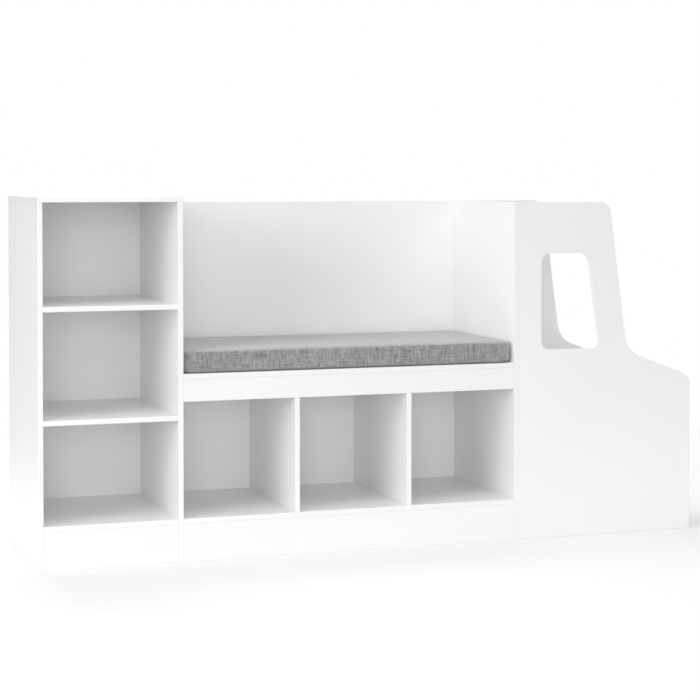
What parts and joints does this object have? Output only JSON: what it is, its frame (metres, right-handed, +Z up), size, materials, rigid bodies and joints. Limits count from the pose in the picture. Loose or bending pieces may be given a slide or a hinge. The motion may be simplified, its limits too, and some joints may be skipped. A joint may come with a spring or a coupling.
{
  "type": "children's storage unit",
  "caption": "White truck-shaped children's storage unit: bookcase tower, cubby bench with a cushioned nook, and an open toy bin in a cab with a window.",
  "frame": {"origin": "middle of the footprint, on the floor", "axes": "+X along the unit from the tower to the cab, +Y from the open front to the back, +Z up"},
  "size_m": [1.686, 0.408, 0.86],
  "materials": {
    "white_board": "satin",
    "thin_back": "satin",
    "grey_linen": "matte",
    "foam": "matte",
    "zip_tape": "matte",
    "zip_metal": "satin",
    "zinc": "satin",
    "steel": "satin",
    "white_plastic": "satin",
    "beech": "matte"
  },
  "bodies": {
    "cabinet": {"tower_left_side": "white_board", "shared_upright": "white_board", "tower_top": "white_board", "tower_upper_shelf": "white_board", "tower_lower_shelf": "white_board", "tower_bottom": "white_board", "tower_plinth": "white_board", "tower_back": "thin_back", "seat_board": "white_board", "seat_apron": "white_board", "divider_left": "white_board", "divider_right": "white_board", "bench_bottom": "white_board", "bench_plinth": "white_board", "bench_back": "white_board", "bench_right_side": "white_board", "cab_front_panel": "white_board", "cab_back_panel": "white_board", "cab_end_panel": "white_board", "bin_floor": "white_board", "cam_locks": "zinc", "cam_bolts": "steel", "cam_covers": "white_plastic", "wood_dowels": "beech", "divider_screws": "steel", "back_panel_screws": "steel", "strap_loops": "steel", "strap_loop_screws": "steel"},
    "cushion": {"cushion_cover": "grey_linen", "cushion_foam": "foam", "cover_zip": "zip_tape"},
    "slider": {"zip_slider": "zip_metal"}
  },
  "joints": [
    {"name": "cushion_lift", "type": "slide", "parent": "cabinet", "child": "cushion", "axis": [0, 0, 1], "range_m": [0, 0.42]},
    {"name": "zip_run", "type": "slide", "parent": "cushion", "child": "slider", "axis": [1, 0, 0], "range_m": [0, 0.67]}
  ]
}
